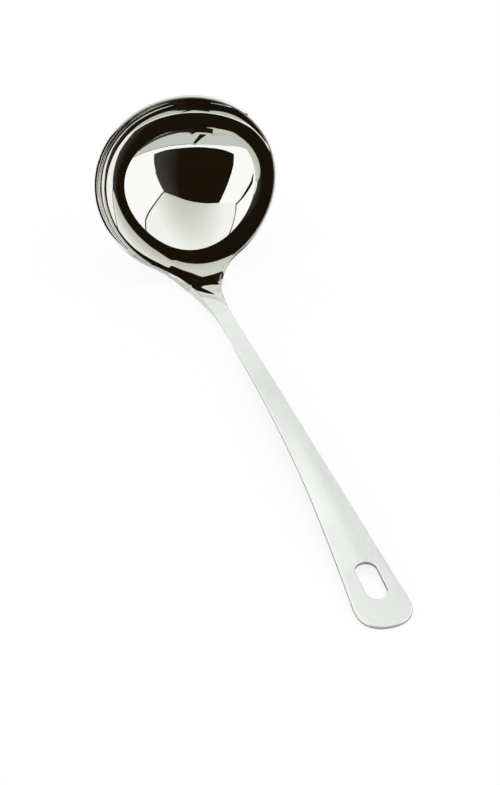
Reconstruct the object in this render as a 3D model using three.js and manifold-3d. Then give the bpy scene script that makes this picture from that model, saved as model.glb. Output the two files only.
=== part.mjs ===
import * as THREE from 'three';
import Module from 'manifold-3d';

const wasm = await Module();
wasm.setup();

// Bowl, in millimetres and degrees. The rim radii are the inside ones, from the axis of the mouth.
const BACK_RADIUS = 43.1; // towards the handle
const SHOULDER_RADIUS = 42.7; // 45 degrees round from the handle
const SIDE_RADIUS = 44.5; // square to the handle
const QUARTER_RADIUS = 43.8; // 135 degrees round from the handle
const FRONT_RADIUS = 42; // opposite the handle
const BOWL_DEPTH = 27.5; // rim plane down to the floor, inside
const WALL_ANGLE = 67; // steepness of the wall at the rim
const FLOOR_FULLNESS = 0.43; // share of the rim radius over which the floor stays flat
const WALL_FULLNESS = 0.42; // share of the rim radius over which the wall stays steep
const SHEET = 1.6; // thickness of the bowl's wall

// Neck: the wall runs on past the rim, and each edge of the handle sweeps out in a parabola to meet it.
const NECK_ANGLE = 73.3; // steepness of the handle as it leaves the bowl
const NECK_CURVE = 10; // past the rim, over which the wall steepens to that
const NECK_WIDTH = 8.6;
const FLARE_REACH = 17.3; // sideways, from the neck's edge to where it meets the rim
const FLARE_LENGTH = 44.8; // along the handle
const SEAM_HEIGHT = 14; // joint of bowl and handle, along the wall above the rim
const NECK_THICKNESS = 4; // the metal is thickest at the neck
const SWELL_FOOT = 22; // below the rim, where the wall starts to thicken
const SWELL_TOP = 16; // above the rim, where the neck is thickest
const SWELL_RUN = 50; // from there to the handle's own thickness

// Handle, lengths measured along it from the rim
const HANDLE_THICKNESS = 1.8;
const HANDLE_LENGTH = 270.6;
const END_WIDTH = 26.2; // to which the sides spread at the very end
const SPREAD_POWER = 2.9; // how late the sides spread
const BEND_START = 40;
const BEND_ANGLE = 8.5; // total, back towards the front of the bowl
const FLAT_LENGTH = 50; // straight, flat end with the slot
const END_ROUND = 14; // length of the rounded end
const END_POWER = 2.3; // fullness of the rounded end
const CROWN = 0.9; // rise of the handle's middle over its edges
const CROWN_RUN = 45; // length over which the crown rises and dies away

// Hang slot
const SLOT_LENGTH = 21.4;
const SLOT_WIDTH = 9.2;
const SLOT_FROM_END = 26.2; // slot's middle to the end of the handle
const SLOT_OFFSET = 0.7; // slot's middle off the handle's middle

// Mesh fineness
const RIM_STEPS = 36;
const FLARE_STEPS = 10;
const LUG_STEPS = 4;
const WALL_ROWS = 16;
const HANDLE_STATIONS = 44;
const END_STATIONS = 9;
const CROSS_STEPS = 10;
const LINE_STEPS = 600;

const rad = THREE.MathUtils.degToRad;
const smooth = (t) => THREE.MathUtils.smoothstep(t, 0, 1);
const wallAngle = rad(WALL_ANGLE);
const neckHalf = NECK_WIDTH / 2;
const lugTop = SEAM_HEIGHT + 2 * SHEET;

// Cosine series through the five rim radii
const radii = [BACK_RADIUS, SHOULDER_RADIUS, SIDE_RADIUS, QUARTER_RADIUS, FRONT_RADIUS];
const last = radii.length - 1;
const series = radii.map((_, k) => {
  const ends = (radii[0] + (k % 2 ? -1 : 1) * radii[last]) / 2;
  const middle = radii
    .slice(1, last)
    .reduce((sum, r, i) => sum + r * Math.cos((Math.PI * k * (i + 1)) / last), 0);
  return ((ends + middle) * (k === 0 || k === last ? 1 : 2)) / last;
});
const rimRadius = (angle) => series.reduce((sum, c, k) => sum + c * Math.cos(k * angle), 0);

// Plan angle at which the wall, carried out by a run past the rim, stands off the middle by y
function planAngle(y, run) {
  let angle = Math.asin(y / (BACK_RADIUS + run));
  for (let i = 0; i < 20; i += 1) {
    angle = Math.asin(y / (rimRadius(angle) + run));
  }
  return angle;
}

// Half the sheet's width at a length along the handle
function halfWidth(length) {
  const swept = 1 - Math.sqrt(Math.min(length / FLARE_LENGTH, 1));
  const spread = Math.pow(length / HANDLE_LENGTH, SPREAD_POWER);
  return neckHalf + FLARE_REACH * swept * swept + (END_WIDTH / 2 - neckHalf) * spread;
}

// Thickness of the metal at a length along the wall from the rim, and off the middle by y
function thickness(length, y) {
  const swell = smooth((length + SWELL_FOOT) / (SWELL_FOOT + SWELL_TOP));
  const settle = smooth((length - SWELL_TOP) / SWELL_RUN);
  const across = 1 - smooth((Math.abs(y) - neckHalf) / FLARE_REACH);
  const neck = (NECK_THICKNESS - SHEET) * swell * (1 - settle) * across;
  return SHEET + neck + (HANDLE_THICKNESS - SHEET) * settle;
}

// Angle of the handle above the rim plane: steepening past the rim, then bent back
function handleAngle(length) {
  const steepen = (rad(NECK_ANGLE) - wallAngle) * Math.min(length / NECK_CURVE, 1);
  const span = HANDLE_LENGTH - FLAT_LENGTH - BEND_START;
  const t = THREE.MathUtils.clamp((length - BEND_START) / span, 0, 1);
  return wallAngle + steepen - rad(BEND_ANGLE) * t * t * (1.5 - 0.5 * t);
}

// Middle of the handle's inner face at a length from the rim
const middleLine = [new THREE.Vector3(BACK_RADIUS, 0, 0)];
for (let i = 0; i < LINE_STEPS; i += 1) {
  const angle = handleAngle(((i + 0.5) * HANDLE_LENGTH) / LINE_STEPS);
  const step = HANDLE_LENGTH / LINE_STEPS;
  const from = middleLine[i];
  middleLine.push(
    new THREE.Vector3(from.x + step * Math.cos(angle), 0, from.z + step * Math.sin(angle)),
  );
}
function middlePoint(length) {
  const place = (length / HANDLE_LENGTH) * LINE_STEPS;
  const i = Math.min(Math.floor(place), LINE_STEPS - 1);
  return middleLine[i].clone().lerp(middleLine[i + 1], place - i);
}
const neckRun = (past) => middlePoint(past).x - BACK_RADIUS;

// Inside of the bowl: a curve from the floor's middle to the rim, then on up along the neck
function wallPoint(angle, reach) {
  const r = rimRadius(angle);
  const u = Math.min(reach, 1);
  const past = Math.max(reach - 1, 0) * BACK_RADIUS;
  const v = 1 - u;
  const lean = WALL_FULLNESS * r;
  const run =
    3 * u * v * v * FLOOR_FULLNESS * r +
    3 * u * u * v * (r - lean * Math.cos(wallAngle)) +
    u * u * u * r;
  const rise =
    -(v * v * v + 3 * u * v * v) * BOWL_DEPTH - 3 * u * u * v * lean * Math.sin(wallAngle);
  const out = run + neckRun(past);
  return new THREE.Vector3(
    out * Math.cos(angle),
    out * Math.sin(angle),
    rise + middlePoint(past).z,
  );
}

// Direction from the sheet's outside to its inside
function wallNormal(angle, reach) {
  const step = 1e-4;
  const at = Math.max(reach, 0.02);
  const along = wallPoint(angle, at + step).sub(wallPoint(angle, at - step));
  const round = wallPoint(angle + step, at).sub(wallPoint(angle - step, at));
  return along.cross(round).normalize();
}

function solid(positions, triangles) {
  const mesh = new wasm.Mesh({
    numProp: 3,
    vertProperties: new Float32Array(positions.flatMap((p) => [p.x, p.y, p.z])),
    triVerts: new Uint32Array(triangles.flat()),
  });
  return new wasm.Manifold(mesh);
}

// A three.js shape as a solid, its equal corners joined
function solidFrom(geometry) {
  const source = geometry.getAttribute('position');
  const index = geometry.getIndex();
  const count = index ? index.count : source.count;
  const seen = new Map();
  const positions = [];
  const corners = [];
  for (let i = 0; i < count; i += 1) {
    const p = new THREE.Vector3().fromBufferAttribute(source, index ? index.getX(i) : i);
    const key = p.toArray().map((value) => value.toFixed(4)).join(' ');
    if (!seen.has(key)) {
      seen.set(key, positions.length);
      positions.push(p);
    }
    corners.push(seen.get(key));
  }
  const triangles = [];
  for (let i = 0; i < count; i += 3) {
    triangles.push(corners.slice(i, i + 3));
  }
  return solid(positions, triangles);
}

// Meridians of the bowl from the front round to the neck: plan angle and reach past the rim
function meridians() {
  const flareAngle = planAngle(neckHalf + FLARE_REACH, 0);
  const half = [];
  for (let i = 0; i < RIM_STEPS; i += 1) {
    half.push([Math.PI + ((flareAngle - Math.PI) * i) / RIM_STEPS, 0]);
  }
  for (let i = 0; i <= FLARE_STEPS; i += 1) {
    const past = lugTop * (i / FLARE_STEPS) ** 2;
    half.push([planAngle(halfWidth(past), neckRun(past)), past]);
  }
  const lugAngle = half[half.length - 1][0];
  for (let i = 1; i <= LUG_STEPS; i += 1) {
    half.push([lugAngle * (1 - i / LUG_STEPS), lugTop]);
  }
  const other = half.slice(1, -1).map(([angle, past]) => [-angle, past]);
  return [...half, ...other].sort((a, b) => a[0] - b[0]);
}

function bowlSolid() {
  const lines = meridians();
  const rows = WALL_ROWS;
  const floor = wallPoint(0, 0);
  const positions = [floor.clone(), floor.clone().setZ(floor.z - SHEET)];
  const at = (side, line, row) => 2 + ((line % lines.length) * rows + row - 1) * 2 + side;
  lines.forEach(([angle, past]) => {
    const reach = 1 + past / BACK_RADIUS;
    for (let row = 1; row <= rows; row += 1) {
      const share = (reach * row) / rows;
      const inner = wallPoint(angle, share);
      const normal = wallNormal(angle, share);
      const side = inner.x > 0 ? inner.y : Infinity;
      const metal = thickness((share - 1) * BACK_RADIUS, side);
      positions.push(inner, inner.clone().addScaledVector(normal, -metal));
    }
  });
  const triangles = [];
  lines.forEach((_, i) => {
    triangles.push([0, at(0, i, 1), at(0, i + 1, 1)], [1, at(1, i + 1, 1), at(1, i, 1)]);
    for (let row = 1; row < rows; row += 1) {
      const inner = [at(0, i, row), at(0, i, row + 1), at(0, i + 1, row + 1), at(0, i + 1, row)];
      const outer = [at(1, i, row), at(1, i + 1, row), at(1, i + 1, row + 1), at(1, i, row + 1)];
      [inner, outer].forEach(([a, b, c, d]) => triangles.push([a, b, c], [a, c, d]));
    }
    triangles.push(
      [at(0, i, rows), at(1, i, rows), at(1, i + 1, rows)],
      [at(0, i, rows), at(1, i + 1, rows), at(0, i + 1, rows)],
    );
  });
  const bowl = solid(positions, triangles);
  const size = 4 * SIDE_RADIUS;
  const waste = new THREE.BoxGeometry(size, size, size);
  waste.translate(0, 0, size / 2);
  waste.applyMatrix4(handleFrame(SEAM_HEIGHT));
  return bowl.subtract(solidFrom(waste));
}

// Frame on the handle: X across it, Y out of its inner face, Z along it
function handleFrame(length) {
  const angle = handleAngle(length);
  const across = new THREE.Vector3(0, 1, 0);
  const out = new THREE.Vector3(-Math.sin(angle), 0, Math.cos(angle));
  const along = new THREE.Vector3(Math.cos(angle), 0, Math.sin(angle));
  const frame = new THREE.Matrix4().makeBasis(across, out, along);
  return frame.setPosition(middlePoint(length));
}

// The round wall's hollow at the seam, and the crown that takes its place along the handle
const rimBend = series.reduce((sum, c, k) => sum - k * k * c, 0);
const planRadius = BACK_RADIUS ** 2 / (BACK_RADIUS - rimBend) + neckRun(SEAM_HEIGHT);
const wallRadius = planRadius / Math.sin(handleAngle(SEAM_HEIGHT));
function faceHeight(y, half, length) {
  const rise = smooth((length - SEAM_HEIGHT) / CROWN_RUN);
  const die = smooth((HANDLE_LENGTH - FLAT_LENGTH - length) / CROWN_RUN);
  const hollow = ((y * y) / (2 * wallRadius)) * (1 - rise);
  const share = y / Math.max(half, 1e-6);
  return hollow + CROWN * rise * die * (1 - share * share);
}

function handleSolid() {
  const straight = HANDLE_LENGTH - END_ROUND;
  const stations = [];
  for (let i = 0; i < HANDLE_STATIONS; i += 1) {
    const length = SEAM_HEIGHT + ((straight - SEAM_HEIGHT) * i) / HANDLE_STATIONS;
    stations.push([length, halfWidth(length)]);
  }
  for (let i = 0; i <= END_STATIONS; i += 1) {
    const turn = (rad(86) * i) / END_STATIONS;
    const length = straight + END_ROUND * Math.sin(turn) ** (2 / END_POWER);
    stations.push([length, halfWidth(length) * Math.cos(turn) ** (2 / END_POWER)]);
  }
  const ring = 2 * (CROSS_STEPS + 1);
  const positions = [];
  stations.forEach(([length, half]) => {
    const frame = handleFrame(length);
    const face = [];
    for (let j = 0; j <= CROSS_STEPS; j += 1) {
      const x = half * ((2 * j) / CROSS_STEPS - 1);
      face.push([x, faceHeight(x, half, length)]);
    }
    const back = face.map(([x, y]) => [x, y - thickness(length, x)]).reverse();
    [...face, ...back].forEach(([x, y]) => {
      positions.push(new THREE.Vector3(x, y, 0).applyMatrix4(frame));
    });
  });
  const triangles = [];
  for (let s = 0; s < stations.length - 1; s += 1) {
    for (let j = 0; j < ring; j += 1) {
      const a = s * ring + j;
      const b = s * ring + ((j + 1) % ring);
      triangles.push([a, b + ring, b], [a, a + ring, b + ring]);
    }
  }
  const end = (stations.length - 1) * ring;
  for (let j = 0; j < CROSS_STEPS; j += 1) {
    const p = j;
    const q = ring - 1 - j;
    triangles.push([p, q - 1, q], [p, p + 1, q - 1]);
    triangles.push([end + p, end + q, end + q - 1], [end + p, end + q - 1, end + p + 1]);
  }
  const flat = (SLOT_LENGTH - SLOT_WIDTH) / 2;
  const outline = new THREE.Shape();
  outline.absarc(0, flat, SLOT_WIDTH / 2, 0, Math.PI, false);
  outline.absarc(0, -flat, SLOT_WIDTH / 2, Math.PI, 2 * Math.PI, false);
  const punch = new THREE.ExtrudeGeometry(outline, {
    depth: 6 * SHEET,
    bevelEnabled: false,
    curveSegments: 12,
  });
  punch.translate(SLOT_OFFSET, 0, -3 * SHEET);
  punch.rotateX(Math.PI / 2);
  punch.applyMatrix4(handleFrame(HANDLE_LENGTH - SLOT_FROM_END));
  return solid(positions, triangles).subtract(solidFrom(punch));
}

// Lay the ladle down: lean it until the bowl's back and the handle's end stand at one level.
const corners = (body) => {
  const mesh = body.getMesh();
  const points = [];
  for (let i = 0; i < mesh.vertProperties.length; i += mesh.numProp) {
    points.push(new THREE.Vector3().fromArray(mesh.vertProperties, i));
  }
  return points;
};
const laid = (lean) =>
  new THREE.Matrix4().set(
    0, 1, 0, 0,
    -Math.cos(lean), 0, -Math.sin(lean), 0,
    -Math.sin(lean), 0, Math.cos(lean), 0,
    0, 0, 0, 1,
  );
const lowest = (points, lean) =>
  points.reduce((low, p) => Math.min(low, p.clone().applyMatrix4(laid(lean)).z), Infinity);

const bodies = { bowl: bowlSolid(), handle: handleSolid() };
const bowlPoints = corners(bodies.bowl);
const handlePoints = corners(bodies.handle);
let leanLow = rad(20);
let leanHigh = rad(110);
for (let i = 0; i < 40; i += 1) {
  const lean = (leanLow + leanHigh) / 2;
  if (lowest(handlePoints, lean) > lowest(bowlPoints, lean)) {
    leanLow = lean;
  } else {
    leanHigh = lean;
  }
}
const place = laid((leanLow + leanHigh) / 2);
const box = new THREE.Box3().setFromPoints(
  [...bowlPoints, ...handlePoints].map((p) => p.clone().applyMatrix4(place)),
);
const middle = box.getCenter(new THREE.Vector3());
place.premultiply(new THREE.Matrix4().makeTranslation(-middle.x, -middle.y, -box.min.z));

const finishes = {
  bowl: new THREE.MeshStandardMaterial({ color: 0xd9dcdb, roughness: 0.08, metalness: 1 }),
  handle: new THREE.MeshStandardMaterial({ color: 0xd3d7d5, roughness: 0.2, metalness: 1 }),
};
const ladle = new THREE.Group();
ladle.name = 'ladle';
Object.entries(bodies).forEach(([name, body]) => {
  const mesh = body.getMesh();
  const geometry = new THREE.BufferGeometry();
  geometry.setAttribute('position', new THREE.BufferAttribute(mesh.vertProperties, 3));
  geometry.setIndex(new THREE.BufferAttribute(mesh.triVerts, 1));
  geometry.applyMatrix4(place);
  const flatGeometry = geometry.toNonIndexed();
  flatGeometry.computeVertexNormals();
  const piece = new THREE.Mesh(flatGeometry, finishes[name]);
  piece.name = name;
  ladle.add(piece);
});

export default ladle;
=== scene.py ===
import math

import bpy
from mathutils import Matrix, Vector


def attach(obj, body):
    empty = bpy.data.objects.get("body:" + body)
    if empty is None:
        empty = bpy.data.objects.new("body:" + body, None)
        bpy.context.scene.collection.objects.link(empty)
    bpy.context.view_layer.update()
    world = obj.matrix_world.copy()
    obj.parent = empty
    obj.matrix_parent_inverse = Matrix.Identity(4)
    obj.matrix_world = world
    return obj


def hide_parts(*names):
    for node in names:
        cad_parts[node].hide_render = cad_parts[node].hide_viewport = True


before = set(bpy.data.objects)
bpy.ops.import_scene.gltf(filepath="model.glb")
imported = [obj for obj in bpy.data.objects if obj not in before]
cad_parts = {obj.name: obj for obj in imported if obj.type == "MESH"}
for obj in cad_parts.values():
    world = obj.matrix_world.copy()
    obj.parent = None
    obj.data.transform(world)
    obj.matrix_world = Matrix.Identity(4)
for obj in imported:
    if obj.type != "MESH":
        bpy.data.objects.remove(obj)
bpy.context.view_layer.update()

# Bowl and neck, in millimetres and degrees, as in the part's source
RADII = (43.1, 42.7, 44.5, 43.8, 42.0)
BOWL_DEPTH = 27.5
WALL_ANGLE = math.radians(67.0)
FLOOR_FULLNESS = 0.43
WALL_FULLNESS = 0.42
SHEET = 1.6
NECK_HALF = 4.3
FLARE_REACH = 17.3
FLARE_LENGTH = 44.8
SEAM_HEIGHT = 14.0
NECK_THICKNESS = 4.0
SWELL_FOOT = 22.0
SWELL_TOP = 16.0
SWELL_RUN = 50.0
NECK_ANGLE = math.radians(73.3)
NECK_CURVE = 10.0

# Handle
HANDLE_THICKNESS = 1.8
HANDLE_LENGTH = 270.6
END_HALF = 13.1
SPREAD_POWER = 2.9
BEND_START = 40.0
BEND_ANGLE = math.radians(8.5)
FLAT_LENGTH = 50.0
END_ROUND = 14.0
END_POWER = 2.3
CROWN = 0.9
CROWN_RUN = 45.0
SLOT_LENGTH = 21.4
SLOT_WIDTH = 9.2
SLOT_FROM_END = 26.2
SLOT_OFFSET = 0.7

# How the ladle lies: lean of the mouth's axis, and the mouth's middle
LEAN = math.radians(69.91043)
MOUTH_Y = 127.4012
MOUTH_Z = 44.2714

# Softened edges and mesh fineness
EDGE_ROUND = 0.45
HANDLE_ROUND = 0.82
ROUND_RUN = 40.0
SLOT_ROUND = 0.4
EDGE_STEPS = 5
RIM_STEPS = 96
FLARE_STEPS = 28
LUG_COLUMNS = 28
WALL_ROWS = 72
HANDLE_STATIONS = 190
PLATE_LENGTH = 48.0
PLATE_START = HANDLE_LENGTH - PLATE_LENGTH
END_STEPS = 26
PLATE_RINGS = 9
LINE_STEPS = 1600
POLE_REACH = 0.02

BACK_RADIUS = RADII[0]
MM = 0.001


def smooth(t):
    t = min(max(t, 0.0), 1.0)
    return t * t * (3 - 2 * t)


# Cosine series through the five rim radii
LAST = len(RADII) - 1
SERIES = []
for k in range(LAST + 1):
    ends = (RADII[0] + (-1) ** k * RADII[LAST]) / 2
    middle = sum(RADII[i] * math.cos(math.pi * k * i / LAST) for i in range(1, LAST))
    SERIES.append((ends + middle) * (1 if k in (0, LAST) else 2) / LAST)


def rim_radius(angle):
    return sum(c * math.cos(k * angle) for k, c in enumerate(SERIES))


def plan_angle(y, run):
    angle = math.asin(y / (BACK_RADIUS + run))
    for _ in range(20):
        angle = math.asin(y / (rim_radius(angle) + run))
    return angle


def half_width(length):
    swept = 1 - math.sqrt(min(length / FLARE_LENGTH, 1.0))
    spread = (length / HANDLE_LENGTH) ** SPREAD_POWER
    return NECK_HALF + FLARE_REACH * swept * swept + (END_HALF - NECK_HALF) * spread


def thickness(length, y):
    swell = smooth((length + SWELL_FOOT) / (SWELL_FOOT + SWELL_TOP))
    settle = smooth((length - SWELL_TOP) / SWELL_RUN)
    across = 1 - smooth((abs(y) - NECK_HALF) / FLARE_REACH)
    neck = (NECK_THICKNESS - SHEET) * swell * (1 - settle) * across
    return SHEET + neck + (HANDLE_THICKNESS - SHEET) * settle


def handle_angle(length):
    span = HANDLE_LENGTH - FLAT_LENGTH - BEND_START
    t = min(max((length - BEND_START) / span, 0.0), 1.0)
    curve = min(max(length / NECK_CURVE, 0.0), 1.0)
    neck = WALL_ANGLE + (NECK_ANGLE - WALL_ANGLE) * curve
    return neck - BEND_ANGLE * t * t * (1.5 - 0.5 * t)


MIDDLE_LINE = [Vector((BACK_RADIUS, 0.0, 0.0))]
LINE_STEP = HANDLE_LENGTH / LINE_STEPS
for i in range(LINE_STEPS):
    a = handle_angle((i + 0.5) * HANDLE_LENGTH / LINE_STEPS)
    MIDDLE_LINE.append(MIDDLE_LINE[-1] + Vector((math.cos(a), 0, math.sin(a))) * LINE_STEP)


def middle_point(length):
    at = length / HANDLE_LENGTH * LINE_STEPS
    i = min(int(at), LINE_STEPS - 1)
    return MIDDLE_LINE[i].lerp(MIDDLE_LINE[i + 1], at - i)


def neck_run(past):
    return middle_point(past).x - BACK_RADIUS


def wall_point(angle, reach):
    r = rim_radius(angle)
    u = min(reach, 1.0)
    past = max(reach - 1.0, 0.0) * BACK_RADIUS
    v = 1 - u
    lean = WALL_FULLNESS * r
    run = 3 * u * v * v * FLOOR_FULLNESS * r
    run += 3 * u * u * v * (r - lean * math.cos(WALL_ANGLE)) + u ** 3 * r
    rise = -(v ** 3 + 3 * u * v * v) * BOWL_DEPTH
    rise -= 3 * u * u * v * lean * math.sin(WALL_ANGLE)
    neck = middle_point(past) - MIDDLE_LINE[0]
    out = run + neck.x
    return Vector((out * math.cos(angle), out * math.sin(angle), rise + neck.z))


def wall_normal(angle, reach):
    step = 1e-4
    at = max(reach, POLE_REACH)
    along = wall_point(angle, at + step) - wall_point(angle, at - step)
    around = wall_point(angle + step, at) - wall_point(angle - step, at)
    return along.cross(around).normalized()


def wall_metal(point, reach):
    return thickness((reach - 1) * BACK_RADIUS, point.y if point.x > 0 else math.inf)


RIM_BEND = sum(-k * k * c for k, c in enumerate(SERIES))
WALL_RADIUS = BACK_RADIUS ** 2 / (BACK_RADIUS - RIM_BEND) + neck_run(SEAM_HEIGHT)
WALL_RADIUS /= math.sin(handle_angle(SEAM_HEIGHT))


def face_height(y, half, length):
    rise = smooth((length - SEAM_HEIGHT) / CROWN_RUN)
    die = smooth((HANDLE_LENGTH - FLAT_LENGTH - length) / CROWN_RUN)
    share = y / max(half, 1e-6)
    return y * y / (2 * WALL_RADIUS) * (1 - rise) + CROWN * rise * die * (1 - share * share)


def handle_point(length, y):
    a = handle_angle(length)
    lift = face_height(y, half_width(length), length)
    return middle_point(length) + Vector((-math.sin(a) * lift, y, math.cos(a) * lift))


def handle_normal(length, y):
    step = 1e-3
    along = handle_point(length + step, y) - handle_point(length - step, y)
    across = handle_point(length, y + step) - handle_point(length, y - step)
    return along.cross(across).normalized()


def laid(p):
    """A point of the ladle's own frame, in millimetres, as it lies in the row frame, in metres."""
    s, c = math.sin(LEAN), math.cos(LEAN)
    return Vector((p.y, MOUTH_Y - (p.x * c + p.z * s), MOUTH_Z - p.x * s + p.z * c)) * MM


# The skin: every vertex once, and faces that name the piece they belong to
verts = []
faces = []


def vert(p):
    verts.append(p)
    return len(verts) - 1


class Edge:
    """A point of the outline: the corner of the inner face, its normal, and the way in from the edge."""

    def __init__(self, point, normal, inward, metal, rounding):
        self.point, self.normal, self.inward = point, normal, inward
        self.metal, self.rounding = metal, rounding

    def profile(self):
        """Vertices from the inner face over the rounded edge to the outer face."""
        turns = [math.pi / 2 * k / EDGE_STEPS for k in range(EDGE_STEPS + 1)]
        corner = [(self.rounding * (1 - math.sin(t)), self.rounding * (1 - math.cos(t))) for t in turns]
        corner += [(inset, self.metal - depth) for inset, depth in corner[::-1]]
        return [vert(self.point + self.inward * inset - self.normal * depth) for inset, depth in corner]

    def face_end(self):
        """Where the inner face ends and the rounding begins."""
        return self.point + self.inward * self.rounding

    def face_half(self):
        """Half the width of the inner face there, without the rounding."""
        return self.point.y + self.inward.y * self.rounding


def outline_edges(points, normals, metals, roundings):
    """Edges round a closed outline, with the way in across each point's neighbours."""
    n = len(points)
    edges = []
    for i in range(n):
        tangent = points[(i + 1) % n] - points[i - 1]
        inward = tangent.cross(normals[i]).normalized()
        edges.append(Edge(points[i], normals[i], inward, metals[i], roundings[i]))
    return edges


def wall_pair(angle, reach):
    """A vertex on the inside of the wall, and the one under it on the outside."""
    p = wall_point(angle, reach)
    return vert(p), vert(p - wall_normal(angle, reach) * wall_metal(p, reach))


def handle_pair(length, y):
    """A vertex on the handle's face, and the one under it on the back."""
    p = handle_point(length, y)
    return vert(p), vert(p - handle_normal(length, y) * thickness(length, y))


def rim_pair(rim):
    """The first and last vertex of an edge's profile."""
    return rim[0], rim[-1]


def sheet_faces(a, b, c, d, part):
    """The inner and the outer face over four pairs of vertices."""
    faces.append((tuple(inner for inner, _ in (a, b, c, d)), part))
    faces.append((tuple(outer for _, outer in (a, d, c, b)), part))


def edge_faces(one, other, part):
    """Faces between the profiles of two neighbouring edges."""
    for k in range(len(one) - 1):
        faces.append(((one[k], other[k], other[k + 1], one[k + 1]), part))


# Outline: round the rim from the front, down one flare, along the handle, round its end and back
flare_angle = plan_angle(NECK_HALF + FLARE_REACH, 0.0)
half_line = []
for i in range(RIM_STEPS):
    half_line.append(("wall", math.pi + (flare_angle - math.pi) * i / RIM_STEPS, 0.0))
for i in range(FLARE_STEPS + 1):
    past = SEAM_HEIGHT * (i / FLARE_STEPS) ** 2
    half_line.append(("wall", plan_angle(half_width(past), neck_run(past)), past))
SEAM_AT = len(half_line) - 1
stations = [SEAM_HEIGHT + (PLATE_START - SEAM_HEIGHT) * i / HANDLE_STATIONS for i in range(HANDLE_STATIONS + 1)]
for length in stations[1:]:
    half_line.append(("handle", length, half_width(length)))
PLATE_AT = len(half_line) - 1
straight = HANDLE_LENGTH - END_ROUND
for i in range(1, END_STEPS + 1):
    length = PLATE_START + (straight - PLATE_START) * i / END_STEPS
    half_line.append(("handle", length, half_width(length)))
for i in range(1, END_STEPS + 1):
    turn = math.pi / 2 * i / END_STEPS
    length = straight + END_ROUND * math.sin(turn) ** (2 / END_POWER)
    y = half_width(length) * max(math.cos(turn), 0.0) ** (2 / END_POWER)
    half_line.append(("handle", length, y))
other_line = []
for kind, a, b in half_line[-2:0:-1]:
    other_line.append((kind, -a, b) if kind == "wall" else (kind, a, -b))
outline = half_line + other_line

points, normals, metals, roundings = [], [], [], []
for kind, a, b in outline:
    if kind == "wall":
        reach = 1 + b / BACK_RADIUS
        points.append(wall_point(a, reach))
        normals.append(wall_normal(a, reach))
        metals.append(wall_metal(points[-1], reach))
        roundings.append(EDGE_ROUND)
    else:
        points.append(handle_point(a, b))
        normals.append(handle_normal(a, b))
        metals.append(thickness(a, b))
        grown = smooth((a - SEAM_HEIGHT) / ROUND_RUN)
        roundings.append(EDGE_ROUND + (HANDLE_ROUND - EDGE_ROUND) * grown)
edges = outline_edges(points, normals, metals, roundings)
rims = [e.profile() for e in edges]
COUNT = len(rims)


def mirror_at(i):
    return (COUNT - i) % COUNT


for i in range(COUNT):
    j = (i + 1) % COUNT
    on_handle = "handle" in (outline[i][0], outline[j][0])
    edge_faces(rims[i], rims[j], "handle" if on_handle else "bowl")


def meridian(i):
    """A line up the wall to an outline point: its plan angle, its reach and the pair of vertices at its end."""
    _, angle, past = outline[i]
    return angle, 1 + past / BACK_RADIUS, rim_pair(rims[i])


# Bowl: meridians under every outline point as far as the seam, and under the columns of the neck between
seam_half = edges[SEAM_AT].face_half()
shares = [1 - 2 * i / LUG_COLUMNS for i in range(1, LUG_COLUMNS)]
seam_run = neck_run(SEAM_HEIGHT)
seam_reach = 1 + SEAM_HEIGHT / BACK_RADIUS
meridians = [meridian(i) for i in range(SEAM_AT + 1)]
for share in shares:
    angle = plan_angle(share * seam_half, seam_run)
    meridians.append((angle, seam_reach, wall_pair(angle, seam_reach)))
meridians += [meridian(i) for i in range(mirror_at(SEAM_AT), COUNT)]

floor_point = wall_point(0.0, 0.0)
poles = (vert(floor_point), vert(floor_point - Vector((0, 0, SHEET))))
lines = []
for angle, reach, end in meridians:
    lines.append([wall_pair(angle, reach * row / WALL_ROWS) for row in range(1, WALL_ROWS)] + [end])
for one, other in zip(lines, lines[1:] + lines[:1]):
    faces.append(((poles[0], other[0][0], one[0][0]), "bowl"))
    faces.append(((poles[1], one[0][1], other[0][1]), "bowl"))
    for row in range(WALL_ROWS - 1):
        sheet_faces(one[row], other[row], other[row + 1], one[row + 1], "bowl")

# Handle: cross rows from the seam to the plate round the slot
rows = [[line[-1] for line in lines[SEAM_AT:SEAM_AT + LUG_COLUMNS + 1]]]
for n in range(1, HANDLE_STATIONS + 1):
    i = SEAM_AT + n
    half = edges[i].face_half()
    middle = [handle_pair(stations[n], share * half) for share in shares]
    rows.append([rim_pair(rims[i])] + middle + [rim_pair(rims[mirror_at(i)])])
for one, other in zip(rows, rows[1:]):
    for k in range(LUG_COLUMNS):
        sheet_faces(one[k], one[k + 1], other[k + 1], other[k], "handle")

# End plate: rings from its border in to the slot
slot_at = HANDLE_LENGTH - SLOT_FROM_END


def plate_place(point):
    """Length along and across the flat end of a point of the inner face."""
    a = handle_angle(slot_at)
    d = point - middle_point(slot_at)
    return slot_at + d.x * math.cos(a) + d.z * math.sin(a), d.y


def slot_place(angle):
    """Where a ray from the slot's middle meets its outline."""
    flat = (SLOT_LENGTH - SLOT_WIDTH) / 2
    r = SLOT_WIDTH / 2
    c, s = math.cos(angle), math.sin(angle)
    reach = r / max(abs(s), 1e-9)
    if abs(c) * reach > flat:
        reach = abs(c) * flat + math.sqrt(max(r * r - (s * flat) ** 2, 0.0))
    return slot_at + c * reach, SLOT_OFFSET + s * reach


border = [rim_pair(rims[i]) for i in range(PLATE_AT, mirror_at(PLATE_AT) + 1)] + rows[-1][-2:0:-1]
border_places = [plate_place(verts[inner]) for inner, _ in border]
slot_places = []
for length, y in border_places:
    slot_places.append(slot_place(math.atan2(y - SLOT_OFFSET, length - slot_at)))
slot_points = [handle_point(*p) for p in slot_places]
slot_normals = [handle_normal(*p) for p in slot_places]
slot_metals = [thickness(*p) for p in slot_places]
slot_roundings = [SLOT_ROUND] * len(slot_points)
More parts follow.
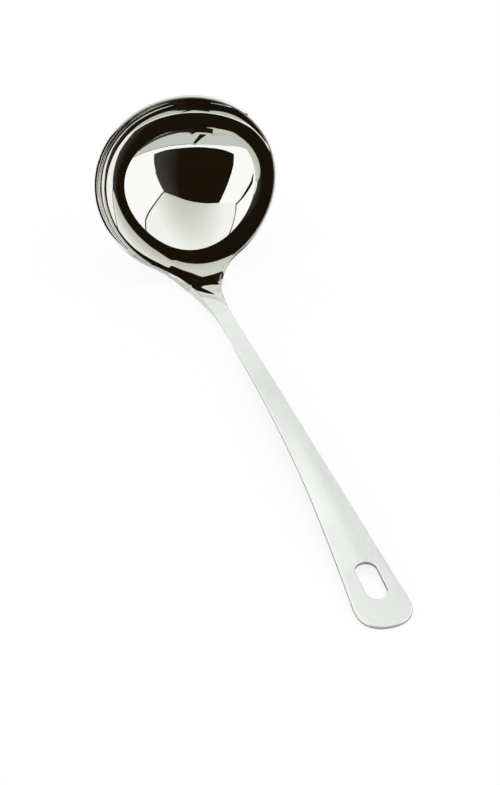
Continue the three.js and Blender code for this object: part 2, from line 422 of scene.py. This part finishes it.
# The slot's outline runs the other way round, as its metal lies outside it
slot_edges = outline_edges(slot_points[::-1], slot_normals[::-1], slot_metals[::-1], slot_roundings)[::-1]
slot_rims = [e.profile() for e in slot_edges]
rings = [border]
for n in range(1, PLATE_RINGS):
    t = n / PLATE_RINGS
    ring = []
    for (l0, y0), e in zip(border_places, slot_edges):
        l1, y1 = plate_place(e.face_end())
        ring.append(handle_pair(l0 + (l1 - l0) * t, y0 + (y1 - y0) * t))
    rings.append(ring)
rings.append([rim_pair(rim) for rim in slot_rims])
for i in range(len(border)):
    j = (i + 1) % len(border)
    for outer_ring, inner_ring in zip(rings, rings[1:]):
        sheet_faces(inner_ring[i], inner_ring[j], outer_ring[j], outer_ring[i], "handle")
    edge_faces(slot_rims[j], slot_rims[i], "handle")

skin = bpy.data.meshes.new("skin")
skin.from_pydata([laid(p) for p in verts], [], [f for f, _ in faces])
skin.update()
skin_normals = [n.vector.copy() for n in skin.vertex_normals]


def piece(name, part):
    """One named piece of the skin, closed at the seam and shaded with the whole skin's normals."""
    seam_in, seam_out = [p[0] for p in rows[0]], [p[1] for p in rows[0]]
    down, up = rims[mirror_at(SEAM_AT)][1:-1], rims[SEAM_AT][-2:0:-1]
    cap = tuple(seam_in + down + seam_out[::-1] + up)
    used = [f for f, owner in faces if owner == part]
    used.append(cap if part == "bowl" else cap[::-1])
    index = {}
    for f in used:
        for v in f:
            index.setdefault(v, len(index))
    order = list(index)
    mesh = bpy.data.meshes.new(name)
    mesh.from_pydata([laid(verts[v]) for v in order], [], [tuple(index[v] for v in f) for f in used])
    mesh.validate()
    mesh.update()
    last = len(mesh.polygons) - 1
    mesh.polygons.foreach_set("use_smooth", [True] * last + [False])
    loop_normals = []
    for polygon in mesh.polygons:
        for v in polygon.vertices:
            loop_normals.append(polygon.normal.copy() if polygon.index == last else skin_normals[order[v]])
    mesh.normals_split_custom_set(loop_normals)
    obj = bpy.data.objects.new(name, mesh)
    bpy.context.scene.collection.objects.link(obj)
    return obj


bowl = piece("bowl_shell", "bowl")
handle = piece("handle_blade", "handle")
bpy.data.meshes.remove(skin)


# Materials
def math_node(nt, operation, first, second=0.0):
    """A math node of two inputs, each a number or a socket."""
    node = nt.nodes.new("ShaderNodeMath")
    node.operation = operation
    for socket, value in zip(node.inputs, (first, second)):
        if isinstance(value, (int, float)):
            socket.default_value = value
        else:
            nt.links.new(value, socket)
    return node.outputs["Value"]


def split_axes(nt, vector):
    """The X, Y and Z sockets of a vector."""
    node = nt.nodes.new("ShaderNodeSeparateXYZ")
    nt.links.new(vector, node.inputs["Vector"])
    return node.outputs


def noise(nt, vector, scale, detail):
    node = nt.nodes.new("ShaderNodeTexNoise")
    node.inputs["Scale"].default_value = scale
    node.inputs["Detail"].default_value = detail
    nt.links.new(vector, node.inputs["Vector"])
    return node.outputs["Fac"]


# Cloudiness of the colour and streaks of the gloss
CLOUD_SCALE = 38.0
CLOUD_DETAIL = 2.0
STREAK_DETAIL = 4.0
CLOUD_STOPS = (0.3, 0.7)
STREAK_SPAN = (0.3, 0.75)

# Waves in the neck's polish, in metres, along a slanting coordinate, and where they fade
WAVE_SLANT = 1.17
WAVE_LENGTH = 0.014
WAVE_START = 0.1115
WAVE_HEIGHT = 0.00005
WAVE_LOW = (0.082, 0.090)
WAVE_HIGH = (0.104, 0.113)
WAVE_SIDE = (0.009, 0.018)


class Steel:
    """A steel material: faint cloudiness in its colour, polishing streaks in its gloss and its surface."""

    def __init__(self, name, colour, cloudiness, grain):
        self.mat = bpy.data.materials.new(name)
        self.mat.use_nodes = True
        self.nt = self.mat.node_tree
        self.bsdf = self.nt.nodes["Principled BSDF"]
        self.bsdf.inputs["Metallic"].default_value = 1.0
        place = self.nt.nodes.new("ShaderNodeTexCoord").outputs["Object"]
        axes = split_axes(self.nt, place)
        self.across, self.along = axes["X"], axes["Y"]
        stretch = self.nt.nodes.new("ShaderNodeMapping")
        stretch.inputs["Scale"].default_value = grain
        self.nt.links.new(place, stretch.inputs["Vector"])
        self.streak = noise(self.nt, stretch.outputs["Vector"], 1.0, STREAK_DETAIL)
        ramp = self.nt.nodes.new("ShaderNodeValToRGB")
        cloudy = [c * (1 - cloudiness) for c in colour]
        for stop, position, shade in zip(ramp.color_ramp.elements, CLOUD_STOPS, (cloudy, colour)):
            stop.position = position
            stop.color = list(shade) + [1.0]
        cloud = self.calc("ADD", noise(self.nt, place, CLOUD_SCALE, CLOUD_DETAIL), self.streak)
        self.nt.links.new(self.calc("MULTIPLY", cloud, 0.5), ramp.inputs["Fac"])
        self.nt.links.new(ramp.outputs["Color"], self.bsdf.inputs["Base Color"])

    def calc(self, operation, first, second=0.0):
        return math_node(self.nt, operation, first, second)

    def ease(self, value, span, start, end):
        """Start below a span of a value, end above it, and smoothly from one to the other within it."""
        node = self.nt.nodes.new("ShaderNodeMapRange")
        node.interpolation_type = "SMOOTHSTEP"
        names = ("From Min", "From Max", "To Min", "To Max")
        for name, number in zip(names, (*span, start, end)):
            node.inputs[name].default_value = number
        self.nt.links.new(value, node.inputs["Value"])
        return node.outputs["Result"]

    def gloss(self, low, high):
        """Roughness that follows the streaks."""
        return self.ease(self.streak, STREAK_SPAN, low, high)

    def neck_waves(self):
        """Shading normals of the shallow slanting waves that the neck's polish leaves in the steel."""
        slanted = self.calc("ADD", self.along, self.calc("MULTIPLY", self.across, WAVE_SLANT))
        turn = self.calc("MULTIPLY", self.calc("SUBTRACT", slanted, WAVE_START), 2 * math.pi / WAVE_LENGTH)
        height = self.calc("MULTIPLY", self.calc("SINE", turn), WAVE_HEIGHT)
        fades = (
            self.ease(slanted, WAVE_LOW, 0.0, 1.0),
            self.ease(slanted, WAVE_HIGH, 1.0, 0.0),
            self.ease(self.calc("ABSOLUTE", self.across), WAVE_SIDE, 1.0, 0.0),
        )
        for fade in fades:
            height = self.calc("MULTIPLY", height, fade)
        return self.bump(height, 1.0)

    def bump(self, height, distance, under=None):
        """Shading normals of a height, over those of another bump."""
        node = self.nt.nodes.new("ShaderNodeBump")
        node.inputs["Distance"].default_value = distance
        self.nt.links.new(height, node.inputs["Height"])
        if under:
            self.nt.links.new(under, node.inputs["Normal"])
        return node.outputs["Normal"]

    def finish(self, roughness, normal):
        self.nt.links.new(roughness, self.bsdf.inputs["Roughness"])
        self.nt.links.new(normal, self.bsdf.inputs["Normal"])
        return self.mat


MIRROR_COLOUR = (0.91, 0.905, 0.885)
MIRROR_CLOUDINESS = 0.02
MIRROR_GRAIN = (160, 160, 160)
MIRROR_ROUGHNESS = (0.012, 0.03)
MIRROR_STREAK_DEPTH = 6e-7
mirror = Steel("mirror_steel", MIRROR_COLOUR, MIRROR_CLOUDINESS, MIRROR_GRAIN)
mirror_normal = mirror.bump(mirror.streak, MIRROR_STREAK_DEPTH, mirror.neck_waves())
bowl.data.materials.append(mirror.finish(mirror.gloss(*MIRROR_ROUGHNESS), mirror_normal))

SATIN_COLOUR = (0.975, 0.985, 0.975)
SATIN_CLOUDINESS = 0.1
SATIN_GRAIN = (1100, 240, 1100)
SATIN_ROUGHNESS = (0.36, 0.44)
SATIN_STREAK_DEPTH = 3e-6
POLISHED_ROUGHNESS = 0.03
# The satin grows duller from the slot towards the bowl, and scatters more of the light there
DULL_SPAN = (-0.1, 0.04)
DULL_ROUGHNESS = 0.34
SCATTER_SPAN = (0.0, 0.07)
SCATTER = 0.42
# Edges, told from the face by how upright the surface's normal is
UPRIGHT_SPAN = (0.78, 0.92)
EDGE_ROUGHNESS = 0.34
EDGE_SCATTER = 0.36
# The mirror polish runs a little way up the handle, to a line that slants and bends across it
POLISH_SLANT = 1.5
POLISH_BEND = 170.0
POLISH_END = (0.0836, 0.0856)
# The face carries a faint ridge along its middle towards the slot
RIDGE_START = (-0.13, -0.115)
RIDGE_END = (-0.075, -0.02)
RIDGE_ROUND = 4e-6
RIDGE_SLOPE = -0.09

satin = Steel("satin_steel", SATIN_COLOUR, SATIN_CLOUDINESS, SATIN_GRAIN)
across_squared = satin.calc("MULTIPLY", satin.across, satin.across)
bent = satin.calc("MULTIPLY", across_squared, POLISH_BEND)
slant = satin.calc("ADD", satin.calc("MULTIPLY", satin.across, POLISH_SLANT), bent)
near_bowl = satin.ease(satin.calc("ADD", satin.along, slant), POLISH_END, 0.0, 1.0)
facing = split_axes(satin.nt, satin.nt.nodes.new("ShaderNodeNewGeometry").outputs["Normal"])
on_edge = satin.ease(satin.calc("ABSOLUTE", facing["Z"]), UPRIGHT_SPAN, 1.0, 0.0)
brushed = satin.calc("SUBTRACT", 1.0, satin.calc("MAXIMUM", near_bowl, on_edge))

duller = satin.ease(satin.along, DULL_SPAN, 0.0, DULL_ROUGHNESS)
matt = satin.calc("ADD", satin.gloss(*SATIN_ROUGHNESS), duller)
rough = satin.calc("ADD", satin.calc("MULTIPLY", matt, brushed), POLISHED_ROUGHNESS)
rough = satin.calc("MAXIMUM", rough, satin.calc("MULTIPLY", on_edge, EDGE_ROUGHNESS))
scatter = satin.calc("MULTIPLY", satin.ease(satin.along, SCATTER_SPAN, 0.0, SCATTER), brushed)
scatter = satin.calc("MAXIMUM", scatter, satin.calc("MULTIPLY", on_edge, EDGE_SCATTER))
satin.nt.links.new(satin.calc("SUBTRACT", 1.0, scatter), satin.bsdf.inputs["Metallic"])

ridge = satin.calc("SQRT", satin.calc("ADD", across_squared, RIDGE_ROUND))
ridge_start = satin.ease(satin.along, RIDGE_START, 0.0, 1.0)
ridge_end = satin.ease(satin.along, RIDGE_END, 1.0, 0.0)
ridge = satin.calc("MULTIPLY", ridge, satin.calc("MULTIPLY", ridge_end, ridge_start))
folded = satin.bump(satin.calc("MULTIPLY", ridge, RIDGE_SLOPE), 1.0, satin.neck_waves())
grained = satin.calc("MULTIPLY", satin.streak, brushed)
handle.data.materials.append(satin.finish(rough, satin.bump(grained, SATIN_STREAK_DEPTH, folded)))
handle.visible_glossy = False

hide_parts("bowl")
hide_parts("handle")
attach(bowl, "root")
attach(handle, "root")


# Studio: a pale floor, white boards at the sides, a pale ceiling and a dark opening towards the camera
scene = bpy.context.scene
# Just inside the bowl's floor: the cards are laid out as seen from here
EYE = Vector((4.0, 148.0, 34.0)) * MM
# Least distance ahead of it for a bearing, and the weight of the way to the side in the ceiling's glow
NEAREST = 0.01
SIDE_WEIGHT = 1.6


def glow_material(name):
    """An emission material, its node tree and its colour socket."""
    mat = bpy.data.materials.new(name)
    mat.use_nodes = True
    nt = mat.node_tree
    nt.nodes.clear()
    out = nt.nodes.new("ShaderNodeOutputMaterial")
    glow = nt.nodes.new("ShaderNodeEmission")
    nt.links.new(glow.outputs["Emission"], out.inputs["Surface"])
    return mat, nt, glow.inputs["Color"]


def plain_glow(name, colour):
    mat, _, socket = glow_material(name)
    socket.default_value = list(colour) + [1.0]
    return mat


def graded_glow(name, measure, span, colours):
    """A glow that changes over the studio, with a measure of the place, between two colours."""
    mat, nt, socket = glow_material(name)
    place = split_axes(nt, nt.nodes.new("ShaderNodeNewGeometry").outputs["Position"])
    share = nt.nodes.new("ShaderNodeMapRange")
    share.inputs["From Min"].default_value, share.inputs["From Max"].default_value = span
    nt.links.new(measure(nt, place), share.inputs["Value"])
    ramp = nt.nodes.new("ShaderNodeValToRGB")
    for stop, colour in zip(ramp.color_ramp.elements, colours):
        stop.color = list(colour) + [1.0]
    nt.links.new(share.outputs["Result"], ramp.inputs["Fac"])
    nt.links.new(ramp.outputs["Color"], socket)
    return mat


def sideways(nt, place):
    return place["X"]


def backwards(nt, place):
    return place["Y"]


def bearing(nt, place):
    """Tangent of the direction from the bowl, growing from the opening's middle towards +X."""
    ahead = math_node(nt, "MAXIMUM", math_node(nt, "SUBTRACT", EYE.y, place["Y"]), NEAREST)
    return math_node(nt, "DIVIDE", place["X"], ahead)


def off_centre(nt, place):
    """Grows to the sides of the ceiling and back over the ladle."""
    aside = math_node(nt, "MULTIPLY", place["X"], place["X"])
    return math_node(nt, "ADD", math_node(nt, "MULTIPLY", aside, SIDE_WEIGHT), place["Y"])


def direction(azimuth, elevation):
    """Azimuth from -Y towards +X, elevation above the floor, in degrees."""
    a, e = math.radians(azimuth), math.radians(elevation)
    return Vector((math.sin(a) * math.cos(e), -math.cos(a) * math.cos(e), math.sin(e)))


def card(name, points, quads, mat):
    """A card of the studio, seen only in reflections."""
    mesh = bpy.data.meshes.new(name)
    mesh.from_pydata(points, [], quads)
    mesh.materials.append(mat)
    obj = bpy.data.objects.new(name, mesh)
    scene.collection.objects.link(obj)
    obj.visible_camera = False
    obj.visible_diffuse = False
    obj.visible_shadow = False


def strip(name, one, other, mat):
    """A card between two rows of points of the same length."""
    n = len(one)
    card(name, one + other, [(i, i + 1, n + i + 1, n + i) for i in range(n - 1)], mat)


def board(name, low, high, distance, mat):
    """An upright card between a low and a high row of directions seen from the bowl."""
    rows_of_points = [[EYE + direction(a, e) * distance for a, e in row] for row in (low, high)]
    strip(name, *rows_of_points, mat)


def sheet(name, corners, height, mat):
    """A card that lies on the floor, its corners and its height in millimetres."""
    card(name, [Vector((x, y, height)) * MM for x, y in corners], [tuple(range(len(corners)))], mat)


def level(azimuths, elevation):
    """A row of directions at one elevation."""
    return [(a, elevation) for a in azimuths]


def raised(row, lift):
    """A row of directions lifted by some degrees."""
    return [(a, e + lift) for a, e in row]


WHITE = (1.06, 1.06, 1.05)
white = plain_glow("board_white", WHITE)
fading = graded_glow("board_fading", backwards, (0.25, 0.6), (WHITE, (0.3, 0.31, 0.31)))
# Dark glow of the room, the wedge and the table, and also of the painted shadow and painted reflections under
# the handle and across the neck
dark = graded_glow("dark_room_and_painted_shade", bearing, (0.14, 0.58), ((0.011, 0.0075, 0.003), (0.06, 0.058, 0.054)))
pale = graded_glow("ceiling_pale", off_centre, (-0.8, 0.6), ((0.6, 0.61, 0.54), (0.97, 1.0, 0.97)))
# Grey of the painted shadow that the bowl casts on the floor near it, seen only in the bowl's reflections
shaded = plain_glow("painted_shadow_grey", (0.585, 0.615, 0.585))
inked = plain_glow("paper_line", (0.1, 0.1, 0.1))
rear_pale = graded_glow("behind_pale", sideways, (0.15, 0.5), ((1.1, 1.11, 1.09), (0.62, 0.635, 0.62)))

# Distances of the cards from the bowl, in metres
BOARD_DISTANCE = 1.3
WEDGE_DISTANCE = 1.0
SKIRTING_DISTANCE = 0.95
WING_DISTANCE = 0.9
ROOM_DISTANCE = 1.8

# Feet and tops of the boards, as azimuths and elevations in degrees
FOOT = -12
RIGHT_FOOT = level((31, 47, 64, 73, 112), FOOT)
RIGHT_TOP = [(29, 21.6), (47, 28.2), (64, 30.5), (73, 31.2), (112, 33)]
LEFT_FOOT = level((-79, -73, -62, -52.5), FOOT)
LEFT_TOP = [(-76, 36), (-71, 37.7), (-59, 40.8), (-46.6, 43)]
FAR_FOOT = level((-122, -95, -86, -80), FOOT)
FAR_TOP = [(-122, 60), (-90, 50), (-79.6, 43.3), (-73.1, 37.7)]
WINDOW_TOP = [(15.5, 31.5), (2.5, 38), (-12, 42.3), (-30, 44.5)]
WEDGE_IN = [(-71, 38.2), (-73.9, 31.3), (-75.4, 22), (-77.6, 11.8), (-78, 2)]
WEDGE_OUT = [(-73, 38.6), (-77.2, 28.8), (-79.4, 20.2), (-81.1, 11.6), (-79.2, 2)]
SEAM_GAP = 1.3
CEILING_EDGE = raised(RIGHT_TOP[::-1], SEAM_GAP) + WINDOW_TOP
CEILING_EDGE += LEFT_TOP[:0:-1] + raised(FAR_TOP[2::-1], SEAM_GAP)
CEILING_TOP = 89
ROOM_AZIMUTHS = [-122 + 13 * i for i in range(19)]
ROOM_TOP = 65
REAR_AZIMUTHS = [112 + 14 * i for i in range(10)]
REAR_TOP = 60
WING_AZIMUTHS = (108, 134)
WING_FOOT, WING_TOP = -10, 22
SKIRTING_FOOT, SKIRTING_TOP = -6, 4

board("right_board", RIGHT_FOOT, RIGHT_TOP, BOARD_DISTANCE, white)
board("left_board", LEFT_FOOT, LEFT_TOP, BOARD_DISTANCE, white)
board("far_board", FAR_FOOT, FAR_TOP, BOARD_DISTANCE, fading)
board("ceiling", CEILING_EDGE, [(a, CEILING_TOP) for a, _ in CEILING_EDGE], BOARD_DISTANCE, pale)
board("wedge", WEDGE_IN, WEDGE_OUT, WEDGE_DISTANCE, dark)
board("room", level(ROOM_AZIMUTHS, FOOT), level(ROOM_AZIMUTHS, ROOM_TOP), ROOM_DISTANCE, dark)
board("behind", level(REAR_AZIMUTHS, FOOT), level(REAR_AZIMUTHS, REAR_TOP), BOARD_DISTANCE, rear_pale)
board("right_wing", level(WING_AZIMUTHS, WING_FOOT), level(WING_AZIMUTHS, WING_TOP), WING_DISTANCE, white)
skirting_rows = level(REAR_AZIMUTHS, SKIRTING_FOOT), level(REAR_AZIMUTHS, SKIRTING_TOP)
board("skirting", *skirting_rows, SKIRTING_DISTANCE, inked)
board("ceiling_back", level(REAR_AZIMUTHS, REAR_TOP), level(REAR_AZIMUTHS, CEILING_TOP), BOARD_DISTANCE, pale)

# Sheets on the floor, in millimetres: paper past the ladle's painted shadow, the dark table beyond it, and the
# grey sheet of painted shadow where the bowl shades the floor, seen in the bowl's reflections
SHADED_LAYER, PAPER_LAYER, MARK_LAYER, TABLE_LAYER = 0.1, 0.15, 0.2, 0.3
NEAR_EDGE = [(60, 96), (43, 82), (28, 73), (15, 67), (5, 65), (-3, 60), (-22, 61), (-44, 71), (-56, 95)]
FAR_EDGE = [(46, 63), (31, 61), (16, 54), (-3, 50), (-30, 46), (-62, 48), (-102, 44)]
BESIDE_LEFT, BESIDE_RIGHT = (-95, 140), (95, 140)
PAPER_CORNERS = [(-1500, 900), (-1500, -1500), (1500, -1500), (1500, 900)]
TABLE_CORNERS = [(-1741, -1230), (0, -2600), (1130, -1820)]
SHADE_CORNERS = [(-95, 240), (95, 240)]
sheet("paper", NEAR_EDGE + [BESIDE_LEFT] + PAPER_CORNERS + [BESIDE_RIGHT], PAPER_LAYER, white)
sheet("table", FAR_EDGE + TABLE_CORNERS, TABLE_LAYER, dark)
sheet("painted_bowl_shadow", NEAR_EDGE + [BESIDE_LEFT] + SHADE_CORNERS + [BESIDE_RIGHT], SHADED_LAYER, shaded)

# A dark strip under the handle, painted shadow and painted reflection of the handle, which is hidden from
# reflections; and a low dark card across the neck, a painted reflection of what the handle's root hides from
# the bowl
SHADE_RIGHT = [(2, 66), (1, 84), (1, 97), (2, 104), (6, 112)]
SHADE_LEFT = [(-1.5, 66), (-4, 87), (-5, 96), (-9, 101.5), (-16, 109)]
shade_rows = [[Vector((x, y, MARK_LAYER)) * MM for x, y in row] for row in (SHADE_RIGHT, SHADE_LEFT)]
strip("painted_handle_shadow_and_reflection", *shade_rows, dark)
# Painted reflection of the handle's root: a low dark card across the neck, seen only in the bowl's reflections
ROOT_REFLECTION_Y = 107
ROOT_REFLECTION_TOP = [(-4, 9.0), (8, 9.0), (13, 6.5), (22, 5.8), (40, 5.8)]
ROOT_REFLECTION_FOOT = [(x, TABLE_LAYER) for x, _ in ROOT_REFLECTION_TOP]
root_reflection_rows = [[Vector((x, ROOT_REFLECTION_Y, z)) * MM for x, z in row] for row in (ROOT_REFLECTION_FOOT, ROOT_REFLECTION_TOP)]
strip("painted_root_reflection", *root_reflection_rows, dark)
LINE_WIDTH = 2
line_edge = NEAR_EDGE[:6]
sheet("paper_line", line_edge + [(x, y + LINE_WIDTH) for x, y in line_edge[::-1]], MARK_LAYER, inked)

# Floor, white where no shade falls on it, with the shares of its glow seen directly and in reflections
FLOOR_HALF = 6.0
FLOOR_COLOUR = (0.92, 0.93, 0.92, 1.0)
FLOOR_SEEN = 0.86
FLOOR_MIRRORED = 0.3
floor_mesh = bpy.data.meshes.new("floor")
floor_corners = [(x * FLOOR_HALF, y * FLOOR_HALF, 0) for x, y in ((-1, -1), (1, -1), (1, 1), (-1, 1))]
floor_mesh.from_pydata(floor_corners, [], [(0, 1, 2, 3)])
floor_mat = bpy.data.materials.new("floor_paper")
floor_mat.use_nodes = True
nt = floor_mat.node_tree
nt.nodes.clear()
out = nt.nodes.new("ShaderNodeOutputMaterial")
paper = nt.nodes.new("ShaderNodeBsdfDiffuse")
paper.inputs["Color"].default_value = FLOOR_COLOUR
glow = nt.nodes.new("ShaderNodeEmission")
path = nt.nodes.new("ShaderNodeLightPath").outputs
direct = math_node(nt, "MAXIMUM", path["Is Camera Ray"], path["Is Transmission Ray"])
seen = math_node(nt, "MULTIPLY", direct, FLOOR_SEEN)
mirrored = math_node(nt, "MULTIPLY", path["Is Glossy Ray"], FLOOR_MIRRORED)
mix = nt.nodes.new("ShaderNodeMixShader")
nt.links.new(math_node(nt, "MAXIMUM", seen, mirrored), mix.inputs["Fac"])
nt.links.new(paper.outputs["BSDF"], mix.inputs[1])
nt.links.new(glow.outputs["Emission"], mix.inputs[2])
nt.links.new(mix.outputs["Shader"], out.inputs["Surface"])
floor_mesh.materials.append(floor_mat)
floor_obj = bpy.data.objects.new("floor", floor_mesh)
scene.collection.objects.link(floor_obj)

# Soft light from all round, and a broad lamp above for the floor
WORLD_STRENGTH = 0.9
LAMP_STRENGTH = 0.6
LAMP_SPREAD = math.radians(80)
world = bpy.data.worlds.new("studio")
scene.world = world
world.use_nodes = True
sky = world.node_tree.nodes["Background"]
sky.inputs["Color"].default_value = (1.0, 1.0, 1.0, 1.0)
sky.inputs["Strength"].default_value = WORLD_STRENGTH
lamp_data = bpy.data.lights.new("soft_lamp", "SUN")
lamp_data.energy = LAMP_STRENGTH
lamp_data.angle = LAMP_SPREAD
lamp = bpy.data.objects.new("soft_lamp", lamp_data)
lamp.visible_glossy = False
scene.collection.objects.link(lamp)

# Camera at the photograph's viewing angle
LENS_PIXELS = 2217.35
IMAGE_HEIGHT = 785
SENSOR = 24.0
CLIP_START = 0.01
CAMERA_PLACE = Vector((-0.252794, -0.768382, 0.590879))
CAMERA_RIGHT = Vector((0.952578, -0.304282, -0.002580))
CAMERA_DOWN = Vector((-0.179946, -0.556455, -0.811158))
CAMERA_AHEAD = Vector((0.245385, 0.773156, -0.584821))
camera_data = bpy.data.cameras.new("camera")
camera_data.sensor_fit = "VERTICAL"
camera_data.sensor_height = SENSOR
camera_data.lens = SENSOR * LENS_PIXELS / IMAGE_HEIGHT
camera_data.clip_start = CLIP_START
camera = bpy.data.objects.new("camera", camera_data)
scene.collection.objects.link(camera)
camera_turn = Matrix((CAMERA_RIGHT, -CAMERA_DOWN, -CAMERA_AHEAD)).transposed().to_4x4()
camera.matrix_world = Matrix.Translation(CAMERA_PLACE) @ camera_turn
scene.camera = camera
scene.view_settings.view_transform = "Standard"
